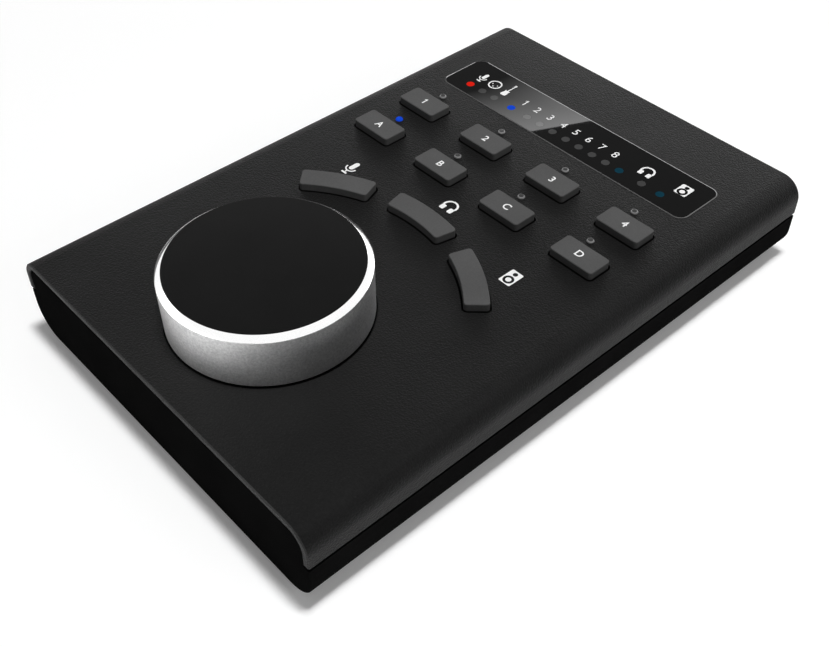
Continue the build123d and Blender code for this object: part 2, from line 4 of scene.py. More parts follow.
import bpy
from mathutils import Euler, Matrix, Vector


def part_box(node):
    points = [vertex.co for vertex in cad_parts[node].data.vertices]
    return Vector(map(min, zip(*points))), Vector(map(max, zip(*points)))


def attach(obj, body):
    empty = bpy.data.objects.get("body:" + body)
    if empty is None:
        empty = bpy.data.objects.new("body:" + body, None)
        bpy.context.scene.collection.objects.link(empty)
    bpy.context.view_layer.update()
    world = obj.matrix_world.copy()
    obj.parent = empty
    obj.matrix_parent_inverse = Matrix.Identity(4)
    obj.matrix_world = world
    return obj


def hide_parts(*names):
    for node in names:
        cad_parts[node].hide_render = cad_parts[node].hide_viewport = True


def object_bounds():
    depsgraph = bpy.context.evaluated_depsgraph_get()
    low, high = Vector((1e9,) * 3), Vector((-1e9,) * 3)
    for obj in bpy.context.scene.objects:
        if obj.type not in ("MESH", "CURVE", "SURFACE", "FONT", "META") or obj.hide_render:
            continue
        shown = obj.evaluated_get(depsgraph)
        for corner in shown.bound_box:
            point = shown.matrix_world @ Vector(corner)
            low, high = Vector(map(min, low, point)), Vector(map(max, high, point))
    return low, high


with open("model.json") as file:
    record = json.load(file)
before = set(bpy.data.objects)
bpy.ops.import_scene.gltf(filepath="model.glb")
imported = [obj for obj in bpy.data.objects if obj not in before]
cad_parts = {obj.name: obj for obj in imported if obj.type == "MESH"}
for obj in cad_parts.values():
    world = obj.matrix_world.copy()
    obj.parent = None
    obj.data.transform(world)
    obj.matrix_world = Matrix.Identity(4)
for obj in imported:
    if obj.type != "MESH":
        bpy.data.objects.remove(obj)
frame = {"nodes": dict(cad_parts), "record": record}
solid_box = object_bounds()

# Desktop audio controller: finishes for every piece of the solid model, a finely turned dial in place of
# the plain one, printed marks, socket contacts, and a white studio. Metres, in the solid model's frame.

MM = 0.001
NODES = frame["nodes"]


def top_of(node):
    """Height of a node's highest point."""
    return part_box(node)[1][2]


def middle_of(node):
    """Middle of a node in plan."""
    low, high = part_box(node)
    return ((low[0] + high[0]) / 2, (low[1] + high[1]) / 2)


shell_level = top_of("top_shell")
window_level = top_of("display_window")

# Camera and image
image_width = 830
focal_pixels = 1113.136
sensor_width = 36.0
camera_tilt = 45.302
camera_lean = 0.140
camera_turn = 47.819
camera_place = Vector((163.645, -151.614, 207.239)) * MM

# Shader groups that several finishes share


def new_group(name, inputs, outputs):
    """Empty shader group with the named sockets."""
    group = bpy.data.node_groups.new(name, "ShaderNodeTree")
    for socket_name, kind, value in inputs:
        socket = group.interface.new_socket(socket_name, in_out="INPUT", socket_type=kind)
        if value is not None:
            socket.default_value = value
    for socket_name, kind in outputs:
        group.interface.new_socket(socket_name, in_out="OUTPUT", socket_type=kind)
    start = group.nodes.new("NodeGroupInput")
    end = group.nodes.new("NodeGroupOutput")
    return group, start, end


def noise(tree, vector, scale, detail=2.0, roughness=0.5):
    """Noise texture node on a vector socket; the scale is a number or a socket."""
    node = tree.nodes.new("ShaderNodeTexNoise")
    tree.links.new(vector, node.inputs["Vector"])
    if isinstance(scale, (int, float)):
        node.inputs["Scale"].default_value = scale
    else:
        tree.links.new(scale, node.inputs["Scale"])
    node.inputs["Detail"].default_value = detail
    node.inputs["Roughness"].default_value = roughness
    return node


def remap(tree, value, low, high, to_low, to_high):
    """Map Range node whose limits are numbers or sockets."""
    node = tree.nodes.new("ShaderNodeMapRange")
    tree.links.new(value, node.inputs["Value"])
    limits = (("From Min", low), ("From Max", high), ("To Min", to_low), ("To Max", to_high))
    for socket_name, limit in limits:
        if isinstance(limit, (int, float)):
            node.inputs[socket_name].default_value = limit
        else:
            tree.links.new(limit, node.inputs[socket_name])
    return node.outputs["Result"]


def combine(tree, operation, first, second):
    """Math node of two values, each a number or a socket."""
    node = tree.nodes.new("ShaderNodeMath")
    node.operation = operation
    for place, value in enumerate((first, second)):
        if isinstance(value, (int, float)):
            node.inputs[place].default_value = value
        else:
            tree.links.new(value, node.inputs[place])
    return node.outputs["Value"]


def pebble_group():
    """Fine pebbled coat: a height of small rounded grains."""
    group, start, end = new_group(
        "pebble grain",
        [("Vector", "NodeSocketVector", None), ("Grains per Metre", "NodeSocketFloat", 1500.0)],
        [("Height", "NodeSocketFloat")],
    )
    vector = start.outputs["Vector"]
    grains = start.outputs["Grains per Metre"]
    cells = group.nodes.new("ShaderNodeTexVoronoi")
    cells.feature = "SMOOTH_F1"
    cells.inputs["Smoothness"].default_value = 0.6
    group.links.new(vector, cells.inputs["Vector"])
    group.links.new(grains, cells.inputs["Scale"])
    grain = noise(group, vector, combine(group, "MULTIPLY", grains, 1.4), 3.0, 0.6)
    rounded = remap(group, cells.outputs["Distance"], 0.05, 0.75, 1.0, 0.0)
    height = combine(group, "ADD", combine(group, "MULTIPLY", rounded, 0.6), grain.outputs["Fac"])
    group.links.new(height, end.inputs["Height"])
    return group


def haze_group():
    """Handling haze: a roughness that drifts between two values in soft patches."""
    group, start, end = new_group(
        "handling haze",
        [
            ("Vector", "NodeSocketVector", None),
            ("Patches per Metre", "NodeSocketFloat", 60.0),
            ("Smooth", "NodeSocketFloat", 0.3),
            ("Dull", "NodeSocketFloat", 0.5),
        ],
        [("Roughness", "NodeSocketFloat")],
    )
    cloud = noise(group, start.outputs["Vector"], start.outputs["Patches per Metre"], 4.0, 0.55)
    patch = remap(group, cloud.outputs["Fac"], 0.3, 0.7, 0.0, 1.0)
    roughness = remap(group, patch, 0.0, 1.0, start.outputs["Smooth"], start.outputs["Dull"])
    group.links.new(roughness, end.inputs["Roughness"])
    return group


def tone_group():
    """Two close tones of one colour, mixed in soft patches with a fine speckle."""
    group, start, end = new_group(
        "tone spread",
        [
            ("Vector", "NodeSocketVector", None),
            ("Patches per Metre", "NodeSocketFloat", 90.0),
            ("Specks per Metre", "NodeSocketFloat", 2500.0),
            ("Dark", "NodeSocketColor", (0.02, 0.02, 0.02, 1.0)),
            ("Light", "NodeSocketColor", (0.03, 0.03, 0.03, 1.0)),
        ],
        [("Color", "NodeSocketColor")],
    )
    vector = start.outputs["Vector"]
    cloud = noise(group, vector, start.outputs["Patches per Metre"], 3.0)
    speck = noise(group, vector, start.outputs["Specks per Metre"], 2.0)
    blend = combine(group, "ADD", cloud.outputs["Fac"], speck.outputs["Fac"])
    mix = group.nodes.new("ShaderNodeMix")
    mix.data_type = "RGBA"
    group.links.new(remap(group, blend, 0.7, 1.3, 0.0, 1.0), mix.inputs["Factor"])
    group.links.new(start.outputs["Dark"], mix.inputs["A"])
    group.links.new(start.outputs["Light"], mix.inputs["B"])
    group.links.new(mix.outputs["Result"], end.inputs["Color"])
    return group


def drawn_group():
    """Drawn, turned or blasted metal: fine lines or grains, as a height and as a roughness."""
    group, start, end = new_group(
        "drawn lines",
        [
            ("Vector", "NodeSocketVector", None),
            ("Lines", "NodeSocketVector", (300.0, 300.0, 9000.0)),
            ("Smooth", "NodeSocketFloat", 0.25),
            ("Dull", "NodeSocketFloat", 0.4),
        ],
        [("Height", "NodeSocketFloat"), ("Roughness", "NodeSocketFloat")],
    )
    stretch = group.nodes.new("ShaderNodeVectorMath")
    stretch.operation = "MULTIPLY"
    group.links.new(start.outputs["Vector"], stretch.inputs[0])
    group.links.new(start.outputs["Lines"], stretch.inputs[1])
    lines = noise(group, stretch.outputs["Vector"], 1.0, 4.0, 0.65)
    shade = remap(group, lines.outputs["Fac"], 0.3, 0.7, 0.0, 1.0)
    roughness = remap(group, shade, 0.0, 1.0, start.outputs["Smooth"], start.outputs["Dull"])
    group.links.new(lines.outputs["Fac"], end.inputs["Height"])
    group.links.new(roughness, end.inputs["Roughness"])
    return group


def edge_group():
    """Painted highlight: second tone on faces whose slope along an axis lies in a band, such as bevels and
    domes.
    """
    group, start, end = new_group(
        "painted edge highlight",
        [
            ("Vector", "NodeSocketVector", None),
            ("Axis", "NodeSocketVector", (0.0, 0.0, 1.0)),
            ("Low", "NodeSocketFloat", 0.5),
            ("High", "NodeSocketFloat", 0.9),
            ("Face Color", "NodeSocketColor", (0.02, 0.02, 0.02, 1.0)),
            ("Edge Color", "NodeSocketColor", (0.3, 0.3, 0.3, 1.0)),
        ],
        [("Color", "NodeSocketColor")],
    )
    slope = group.nodes.new("ShaderNodeVectorMath")
    slope.operation = "DOT_PRODUCT"
    group.links.new(start.outputs["Vector"], slope.inputs[0])
    group.links.new(start.outputs["Axis"], slope.inputs[1])
    along = combine(group, "ABSOLUTE", slope.outputs["Value"], 0.0)
    low, high = start.outputs["Low"], start.outputs["High"]
    blend = 0.03
    rise = remap(group, along, low, combine(group, "ADD", low, blend), 0.0, 1.0)
    fall = remap(group, along, combine(group, "SUBTRACT", high, blend), high, 1.0, 0.0)
    mix = group.nodes.new("ShaderNodeMix")
    mix.data_type = "RGBA"
    group.links.new(combine(group, "MULTIPLY", rise, fall), mix.inputs["Factor"])
    group.links.new(start.outputs["Face Color"], mix.inputs["A"])
    group.links.new(start.outputs["Edge Color"], mix.inputs["B"])
    group.links.new(mix.outputs["Result"], end.inputs["Color"])
    return group


PEBBLE = pebble_group()
HAZE = haze_group()
TONE = tone_group()
DRAWN = drawn_group()
EDGE = edge_group()


class Finish:
    """One material under construction: its tree, its shader and its object coordinates."""

    def __init__(self, name, **values):
        self.material = bpy.data.materials.new(name)
        self.material.use_nodes = True
        self.tree = self.material.node_tree
        self.shader = self.tree.nodes["Principled BSDF"]
        coordinates = self.tree.nodes.new("ShaderNodeTexCoord")
        self.place = coordinates.outputs["Object"]
        self.normal = coordinates.outputs["Normal"]
        for socket_name, value in values.items():
            self.shader.inputs[socket_name.replace("_", " ")].default_value = value

    def group(self, group, vector=None, **values):
        """Places a shared group on the object's coordinates or another vector, with its own values."""
        node = self.tree.nodes.new("ShaderNodeGroup")
        node.node_tree = group
        self.tree.links.new(vector or self.place, node.inputs["Vector"])
        for socket_name, value in values.items():
            node.inputs[socket_name.replace("_", " ")].default_value = value
        return node

    def feed(self, output, socket_name):
        """Links an output to one of the shader's sockets."""
        self.tree.links.new(output, self.shader.inputs[socket_name])

    def bump(self, height, strength, depth):
        """Bump of a height output into the shader's normal."""
        node = self.tree.nodes.new("ShaderNodeBump")
        node.inputs["Strength"].default_value = strength
        node.inputs["Distance"].default_value = depth
        self.tree.links.new(height, node.inputs["Height"])
        self.feed(node.outputs["Normal"], "Normal")

    def tones(self, dark, light, patches=90.0, specks=2500.0):
        """Base colour that spreads between two tones."""
        node = self.group(
            TONE, Patches_per_Metre=patches, Specks_per_Metre=specks, Dark=(*dark, 1.0), Light=(*light, 1.0)
        )
        self.feed(node.outputs["Color"], "Base Color")
        return node

    def edges(self, face_tone, dark, light, axis, low, high):
        """Painted highlight: a second pair of tones on the faces whose slope along the axis lies between
        two values.
        """
        edge_tone = self.group(TONE, Dark=(*dark, 1.0), Light=(*light, 1.0))
        node = self.group(EDGE, self.normal, Axis=axis, Low=low, High=high)
        self.tree.links.new(face_tone.outputs["Color"], node.inputs["Face Color"])
        self.tree.links.new(edge_tone.outputs["Color"], node.inputs["Edge Color"])
        self.feed(node.outputs["Color"], "Base Color")

    def haze(self, smooth, dull, patches=60.0):
        """Roughness that drifts between two values."""
        node = self.group(HAZE, Patches_per_Metre=patches, Smooth=smooth, Dull=dull)
        self.feed(node.outputs["Roughness"], "Roughness")


def grey(value):
    """Neutral colour of one value."""
    return (value, value, value)


def moulded(name, dark, light, smooth, dull, grains=2200.0, depth=0.02, strength=0.25, **values):
    """Moulded plastic or rubber: close tones, drifting roughness and a fine surface grain."""
    finish = Finish(name, **values)
    finish.tones(dark, light)
    finish.haze(smooth, dull)
    grain = finish.group(PEBBLE, Grains_per_Metre=grains)
    finish.bump(grain.outputs["Height"], strength, depth * MM)
    return finish


def drawn_metal(name, dark, light, smooth, dull, lines, strength=0.15, depth=0.01, patches=90.0):
    """Metal with the fine lines or grains that drawing, turning or blasting leaves."""
    finish = Finish(name, Metallic=1.0)
    finish.tones(dark, light, patches)
    marks = finish.group(DRAWN, Lines=lines, Smooth=smooth, Dull=dull)
    finish.feed(marks.outputs["Roughness"], "Roughness")
    finish.bump(marks.outputs["Height"], strength, depth * MM)
    return finish


# Finishes

finishes = {}

shell_coat = Finish("shell_coat", Specular_IOR_Level=0.1)
coat_tone = shell_coat.tones(grey(0.0065), grey(0.0115), 30.0, 1700.0)
# Painted highlight: the front and rear chamfers of the shell get a lighter tone
shell_coat.edges(coat_tone, grey(0.022), grey(0.038), (0.0, 1.0, 0.0), 0.55, 0.9)
shell_coat.haze(0.42, 0.5, 40.0)
coat_grain = shell_coat.group(PEBBLE, Grains_per_Metre=2100.0)
shell_coat.bump(coat_grain.outputs["Height"], 1.0, 0.11 * MM)
finishes["shell_coat"] = shell_coat

finishes["base_gloss"] = moulded(
    "base_gloss", grey(0.0055), grey(0.008), 0.45, 0.6, 2600.0, 0.01, 0.15, Specular_IOR_Level=0.0
)
finishes["foot_rubber"] = moulded("foot_rubber", grey(0.012), grey(0.02), 0.75, 0.9, 1800.0, 0.04, 0.4)
finishes["inner_black"] = moulded("inner_black", grey(0.014), grey(0.022), 0.5, 0.65)
finishes["well_black"] = moulded("well_black", grey(0.003), grey(0.005), 0.6, 0.8, Specular_IOR_Level=0.1)
finishes["tape"] = moulded("tape", grey(0.03), grey(0.045), 0.7, 0.85)
finishes["led_body"] = moulded("led_body", (0.62, 0.62, 0.57), (0.72, 0.72, 0.67), 0.4, 0.55)
finishes["plunger_plastic"] = moulded("plunger_plastic", (0.4, 0.4, 0.38), (0.5, 0.5, 0.48), 0.45, 0.6)

# Painted shade: the keys' colour is darkened below the top of the shell, where the openings shade them
key_shade_low = shell_level - 0.05 * MM
key_shade_high = shell_level + 0.2 * MM
key_rubber = Finish("key_rubber", Specular_IOR_Level=0.06)
key_tone = key_rubber.tones(grey(0.074), grey(0.09))
painted_shade_tone = key_rubber.group(TONE, Dark=(*grey(0.0015), 1.0), Light=(*grey(0.0025), 1.0))
key_rubber.haze(0.62, 0.74)
key_grain = key_rubber.group(PEBBLE, Grains_per_Metre=2400.0)
key_rubber.bump(key_grain.outputs["Height"], 0.3, 0.02 * MM)
key_height = key_rubber.tree.nodes.new("ShaderNodeSeparateXYZ")
key_rubber.tree.links.new(key_rubber.place, key_height.inputs["Vector"])
above_shell = remap(key_rubber.tree, key_height.outputs["Z"], key_shade_low, key_shade_high, 0.0, 1.0)
key_mix = key_rubber.tree.nodes.new("ShaderNodeMix")
key_mix.data_type = "RGBA"
key_rubber.tree.links.new(above_shell, key_mix.inputs["Factor"])
key_rubber.tree.links.new(painted_shade_tone.outputs["Color"], key_mix.inputs["A"])
key_rubber.tree.links.new(key_tone.outputs["Color"], key_mix.inputs["B"])
key_rubber.feed(key_mix.outputs["Result"], "Base Color")
finishes["key_rubber"] = key_rubber

finishes["cap_black"] = moulded(
    "cap_black", grey(0.007), grey(0.0085), 0.55, 0.66, 3000.0, 0.01, 0.2, Specular_IOR_Level=0.05
)
finishes["print_white"] = moulded("print_white", grey(0.82), grey(0.9), 0.5, 0.65, 4000.0, 0.004, 0.15)

# The window is black behind a clear face; its polished bevel gets a pale tone, a painted highlight
window_gloss = Finish("window_gloss")
window_tone = window_gloss.tones(grey(0.002), grey(0.003), 40.0, 900.0)
window_gloss.edges(window_tone, grey(0.075), grey(0.115), (0.0, 0.0, 1.0), 0.8, 0.985)
window_gloss.haze(0.01, 0.03, 45.0)
finishes["window_gloss"] = window_gloss


def lit_lens(name, dark, light, glow, strength):
    """Diffusing lens with a light behind it, a little uneven over its face."""
    finish = Finish(name, Emission_Strength=strength, Specular_IOR_Level=0.0)
    finish.tones(dark, light, 600.0, 3000.0)
    finish.haze(0.4, 0.5, 400.0)
    dim_glow = (*(0.8 * channel for channel in glow), 1.0)
    uneven = finish.group(
        TONE, Patches_per_Metre=500.0, Specks_per_Metre=2500.0, Dark=dim_glow, Light=(*glow, 1.0)
    )
    finish.feed(uneven.outputs["Color"], "Emission Color")
    return finish


finishes["lens_red"] = lit_lens(
    "lens_red", (0.16, 0.004, 0.003), (0.2, 0.006, 0.004), (1.0, 0.02, 0.008), 0.57
)
finishes["lens_blue"] = lit_lens(
    "lens_blue", (0.004, 0.02, 0.15), (0.006, 0.03, 0.2), (0.008, 0.085, 0.95), 0.48
)
finishes["lens_teal"] = lit_lens(
    "lens_teal", (0.004, 0.018, 0.028), (0.006, 0.022, 0.034), (0.006, 0.1, 0.16), 0.2
)
finishes["lens_unlit"] = moulded("lens_unlit", grey(0.044), grey(0.054), 0.02, 0.04, 3000.0, 0.002, 0.1)

# Painted highlight: the clear key lights get a pale tone on their sloping rim, around a dark middle
lens_clear = Finish("lens_clear")
lens_tone = lens_clear.tones(grey(0.04), grey(0.06), 600.0, 3000.0)
lens_clear.edges(lens_tone, grey(0.14), grey(0.22), (0.0, 0.0, 1.0), 0.1, 0.97)
lens_clear.haze(0.12, 0.2, 400.0)
finishes["lens_clear"] = lens_clear

dial_metal = drawn_metal(
    "dial_metal", grey(0.75), grey(1.0), 0.36, 0.5, (1500.0, 1500.0, 3200.0), 1.0, 0.12, 1400.0
)
finishes["dial_metal"] = dial_metal
dial_cut = drawn_metal("dial_cut", grey(0.92), grey(0.96), 0.07, 0.11, (300.0, 300.0, 9000.0), 0.05)
finishes["steel"] = drawn_metal("steel", grey(0.5), grey(0.6), 0.26, 0.4, (250.0, 7000.0, 7000.0))
finishes["black_screw"] = drawn_metal(
    "black_screw", grey(0.03), grey(0.05), 0.35, 0.5, (4000.0, 4000.0, 300.0)
)
finishes["brass_spacer"] = drawn_metal(
    "brass_spacer", (0.5, 0.35, 0.12), (0.62, 0.45, 0.18), 0.25, 0.38, (300.0, 300.0, 8000.0)
)
finishes["aluminium_can"] = drawn_metal(
    "aluminium_can", grey(0.6), grey(0.72), 0.28, 0.42, (300.0, 300.0, 8000.0)
)
contact_gold = drawn_metal(
    "contact_gold", (0.7, 0.45, 0.12), (0.82, 0.55, 0.18), 0.2, 0.3, (4000.0, 300.0, 4000.0)
)

board_resist = Finish("board", Coat_Weight=0.3)
board_resist.tones((0.008, 0.05, 0.02), (0.012, 0.075, 0.03), 150.0, 1200.0)
board_resist.haze(0.3, 0.42, 80.0)
weave = board_resist.group(PEBBLE, Grains_per_Metre=900.0)
board_resist.bump(weave.outputs["Height"], 0.2, 0.02 * MM)
finishes["board"] = board_resist

for part in frame["record"]["subparts"]:
    solid = NODES[part["node"]]
    for number in range(len(solid.material_slots)):
        solid.material_slots[number].material = finishes[part["material_slot"]].material


def add_piece(name, mesh, finish, body, place=(0.0, 0.0, 0.0)):
    """Links a mesh as a piece of the object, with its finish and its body."""
    piece = bpy.data.objects.new(name, mesh)
    piece.location = place
    bpy.context.scene.collection.objects.link(piece)
    if not mesh.materials:
        mesh.materials.append(finish.material)
    bpy.context.view_layer.update()
    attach(piece, body)
    return piece


# Dial: a turned ring with a cut, slightly rounded bevel, and the disc in its top

dial_x, dial_y = middle_of("dial_ring")
dial_low, dial_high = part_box("dial_ring")
dial_radius = (dial_high[0] - dial_low[0]) / 2
dial_bevel = 1.5 * MM
dial_bevel_drop = 1.2 * MM
dial_bevel_bulge = 0.063 * MM
dial_foot_break = 0.15 * MM
dial_wall = 3.0 * MM
dial_plate = 3.0 * MM
spindle_hole = 2.0 * MM
dial_edge_round = 0.07 * MM
dial_segments = 288
cap_low, cap_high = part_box("dial_cap")
cap_radius = (cap_high[0] - cap_low[0]) / 2
cap_seat_gap = 0.05 * MM
cap_proud = 0.13 * MM


gentle_turn = radians(12)


def rounded_profile(corners, radius, steps=4):
    """Profile through corner points, sharp ones rounded by the radius or as far as their edges allow."""
    points = [corners[0]]
    for before, corner, after in zip(corners, corners[1:], corners[2:]):
        corner = Vector(corner)
        back = Vector(before) - corner
        onward = Vector(after) - corner
        if onward.angle(-back) < gentle_turn:
            points.append(tuple(corner))
            continue
        reach = min(radius, 0.4 * back.length, 0.4 * onward.length)
        back = back.normalized() * reach
        onward = onward.normalized() * reach
        for step in range(steps + 1):
            share = step / steps
            points.append(tuple(corner + back * (1 - share) ** 2 + onward * share ** 2))
    points.append(corners[-1])
    return points


def bulged(start, end, bulge, steps=4):
    """Points between two ends of a profile, on a shallow curve that stands out by the bulge."""
    start = Vector(start)
    along = Vector(end) - start
    outward = Vector((along.y, -along.x)).normalized()
    shares = [step / steps for step in range(1, steps)]
    return [tuple(start + along * share + outward * 4 * bulge * share * (1 - share)) for share in shares]


def turned(name, profile, segments, cut_between=None):
    """Solid of revolution about its own Z axis; faces between two heights take the second finish."""
    verts = []
    for radius, height in profile:
        for segment in range(segments):
            angle = 2 * pi * segment / segments
            verts.append((radius * cos(angle), radius * sin(angle), height))
    faces = []
    bands = []
    for ring in range(len(profile) - 1):
        for segment in range(segments):
            onward = (segment + 1) % segments
            base = ring * segments
            above = base + segments
            faces.append((base + segment, base + onward, above + onward, above + segment))
            bands.append((profile[ring][1] + profile[ring + 1][1]) / 2)
    faces.append(tuple(reversed(range(segments))))
    bands.append(profile[0][1])
    faces.append(tuple((len(profile) - 1) * segments + segment for segment in range(segments)))
    bands.append(profile[-1][1])
    mesh = bpy.data.meshes.new(name)
    mesh.from_pydata(verts, [], faces)
    for polygon, band in zip(mesh.polygons, bands):
        polygon.use_smooth = True
        if cut_between and cut_between[0] < band <= cut_between[1]:
            polygon.material_index = 1
    mesh.set_sharp_from_angle(angle=radians(30))
    return mesh


cap_under = cap_low[2]
dial_top = dial_high[2]
dial_under = dial_low[2]
dial_skirt_roof = cap_under - dial_plate
bevel_foot = (dial_radius, dial_top - dial_bevel_drop)
bevel_head = (dial_radius - dial_bevel, dial_top)
ring_profile = rounded_profile(
    [
        (spindle_hole, dial_skirt_roof),
        (dial_radius - dial_wall, dial_skirt_roof),
        (dial_radius - dial_wall, dial_under),
        (dial_radius - dial_foot_break, dial_under),
        (dial_radius, dial_under + dial_foot_break),
        bevel_foot,
        *bulged(bevel_foot, bevel_head, dial_bevel_bulge),
        bevel_head,
        (cap_radius + cap_seat_gap, dial_top),
        (cap_radius + cap_seat_gap, cap_under),
        (spindle_hole, cap_under),
    ],
    dial_edge_round,
)
ring_mesh = turned("dial_ring_turned", ring_profile, dial_segments, (dial_top - dial_bevel_drop, dial_top))
ring_mesh.materials.append(dial_metal.material)
ring_mesh.materials.append(dial_cut.material)
dial_place = (dial_x, dial_y, 0.0)
dial_ring_piece = add_piece("dial_ring_turned", ring_mesh, dial_metal, "dial", dial_place)
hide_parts("dial_ring")

cap_profile = rounded_profile(
    [
        (spindle_hole, cap_under),
        (cap_radius, cap_under),
        (cap_radius, cap_high[2] + cap_proud),
        (spindle_hole, cap_high[2] + cap_proud),
    ],
    dial_edge_round,
)
cap_mesh = turned("dial_cap_disc", cap_profile, dial_segments)
cap_piece = add_piece("dial_cap_disc", cap_mesh, finishes["cap_black"], "dial", dial_place)
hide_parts("dial_cap")

# Printed marks: flat outlines in millimetres, filled, with a nested outline as a hole

ink_above = 0.02 * MM
ink_below = 0.01 * MM
capital_share = 0.72


def circle(x, y, radius, sides=40):
    """Closed circle."""
    angles = [2 * pi * side / sides for side in range(sides)]
    return [(x + radius * cos(angle), y + radius * sin(angle)) for angle in angles]


def arc(x, y, radius, start, end, steps=24):
    """Open arc from one angle to another, in degrees."""
    angles = [radians(start + (end - start) * step / steps) for step in range(steps + 1)]
    return [(x + radius * cos(angle), y + radius * sin(angle)) for angle in angles]


def band(x, y, inner, outer, start, end):
    """Closed band between two arcs."""
    return arc(x, y, outer, start, end) + arc(x, y, inner, end, start)


def bar(x0, y0, x1, y1, width):
    """Straight bar with round ends."""
    heading = atan2(y1 - y0, x1 - x0) * 180 / pi
    far_end = arc(x1, y1, width / 2, heading - 90, heading + 90, 10)
    near_end = arc(x0, y0, width / 2, heading + 90, heading + 270, 10)
    return far_end + near_end


def plate(x, y, width, height, corner):
    """Rectangle with round corners."""
    half_w, half_h = width / 2 - corner, height / 2 - corner
    points = []
    for side_x, side_y, start in ((1, 1, 0), (-1, 1, 90), (-1, -1, 180), (1, -1, 270)):
        points += arc(x + side_x * half_w, y + side_y * half_h, corner, start, start + 90, 6)
    return points


def scaled(outlines, share):
    """Outlines at a share of their size."""
    return [[(x * share, y * share) for x, y in outline] for outline in outlines]


def microphone(share):
    """Capsule in a cradle on a foot, 5.8 mm high at full size."""
    outlines = [
        bar(0.0, 0.58, 0.0, 2.58, 1.5),
        band(0.0, 0.65, 1.38, 1.8, 180, 360),
        plate(0.0, -1.5, 0.42, 0.9, 0.05),
        plate(0.0, -2.12, 1.9, 0.55, 0.1),
    ]
    return scaled(outlines, share)


def headphones(share):
    """Headband with two ear cups inside its ends, 4.9 mm high at full size."""
    outlines = [
        arc(0.0, 0.2, 2.3, -12, 192) + arc(0.0, 0.2, 1.72, 192, -12),
        plate(-1.42, -1.1, 1.45, 1.9, 0.4),
        plate(1.42, -1.1, 1.45, 1.9, 0.4),
    ]
    return scaled(outlines, share)


def loudspeaker(width, height):
    """Box with a small and a large driver."""
    return [
        plate(0, 0, width, height, 0.1 * width),
        circle(0.0, 0.29 * height, 0.18 * width),
        circle(0.0, -0.175 * height, 0.4 * width),
        circle(0.0, -0.175 * height, 0.21 * width),
    ]


def round_connector(size):
    """Ring with three pins."""
    pins = []
    for angle in (0, 180, 270):
        x, y = cos(radians(angle)), sin(radians(angle))
        pins.append(circle(0.22 * size * x, 0.22 * size * y, 0.05 * size, 16))
    return [circle(0, 0, 0.5 * size), circle(0, 0, 0.4 * size)] + pins


def guitar(size):
    """Solid-bodied guitar, neck to the rear."""
    half_body = [
        (0.0, -0.5), (0.08, -0.5), (0.14, -0.46), (0.155, -0.38), (0.14, -0.3),
        (0.12, -0.24), (0.125, -0.17), (0.14, -0.1), (0.1, -0.09), (0.05, -0.11),
    ]
    right = half_body + [(0.03, -0.09), (0.026, 0.36), (0.05, 0.38), (0.045, 0.5)]
    left = [(-x, y) for x, y in reversed(right[1:])]
    return [[(x * size, y * size) for x, y in right + left]]


def printed(name, outlines, place, level, body):
    """Printed mark from flat outlines in millimetres, laid on a surface at a height."""
    curve = bpy.data.curves.new(name, "CURVE")
    curve.dimensions = "2D"
    curve.fill_mode = "BOTH"
    curve.extrude = (ink_above + ink_below) / 2
    for outline in outlines:
        spline = curve.splines.new("POLY")
        spline.points.add(len(outline) - 1)
        for point, (x, y) in zip(spline.points, outline):
            point.co = (x * MM, y * MM, 0.0, 1.0)
        spline.use_cyclic_u = True
    return laid(name, curve, place, level, body)


def lettered(name, words, size, weight, place, level, body):
    """Printed figure or letter of a height in millimetres, laid on a surface at a height."""
    text = bpy.data.curves.new(name, "FONT")
    text.body = words
    text.size = size * MM / capital_share
    text.offset = weight * MM
    text.align_x = "CENTER"
    text.align_y = "CENTER"
    text.extrude = (ink_above + ink_below) / 2
    return laid(name, text, place, level, body)


def figure(name, words, size, weight, place, level, body):
    """Printed figure or letter; the one is drawn with a flag."""
    if words != "1":
        return lettered(name, words, size, weight, place, level, body)
    stem = 0.13 * size + 2 * weight
    half = size / 2
    outline = [
        (stem / 2, -half), (stem / 2, half), (-stem * 0.3, half), (-0.26 * size, half - 0.16 * size),
        (-0.26 * size, half - 0.16 * size - stem), (-stem / 2, half - stem * 1.1), (-stem / 2, -half),
    ]
    return printed(name, [outline], place, level, body)


def laid(name, curve, place, level, body):
    """Turns a flat curve or text into a printed piece."""
    draft = bpy.data.objects.new(name, curve)
    mesh = bpy.data.meshes.new_from_object(draft)
    bpy.data.objects.remove(draft)
    mesh.name = name
    xs = [v.co.x for v in mesh.vertices]
    ys = [v.co.y for v in mesh.vertices]
    shift = Vector(((min(xs) + max(xs)) / 2, (min(ys) + max(ys)) / 2, 0.0))
    for vertex in mesh.vertices:
        vertex.co -= shift
    mesh.materials.clear()
    location = (place[0] * MM, place[1] * MM, level + (ink_above - ink_below) / 2)
    return add_piece(name, mesh, finishes["print_white"], body, location)


window_x, window_y = (place / MM for place in middle_of("display_window"))
dial_axis_x, dial_axis_y = dial_x / MM, dial_y / MM


def on_window(x, y):
    """Place in millimetres from the middle of the window."""
    return (window_x + x, window_y + y)


def round_dial(x, y):
    """Place in millimetres from the axis of the dial."""
    return (dial_axis_x + x, dial_axis_y + y)


# Window marks
printed("window_microphone", microphone(0.8), on_window(-37.0, 1.3), window_level, "case")
printed("window_connector", round_connector(4.3), on_window(-32.0, 1.25), window_level, "case")
printed("window_guitar", guitar(6.5), on_window(-27.0, 2.2), window_level, "case")
number_places = (-19.4, -14.3, -9.2, -4.1, 0.6, 5.4, 10.2, 15.0)
for number, x in enumerate(number_places, 1):
    figure(f"window_number_{number}", str(number), 2.7, 0.0, on_window(x, 0.9), window_level, "case")
printed("window_headphones", headphones(0.95), on_window(25.9, 1.3), window_level, "case")
printed("window_loudspeaker", loudspeaker(3.7, 4.5), on_window(37.6, 2.1), window_level, "case")

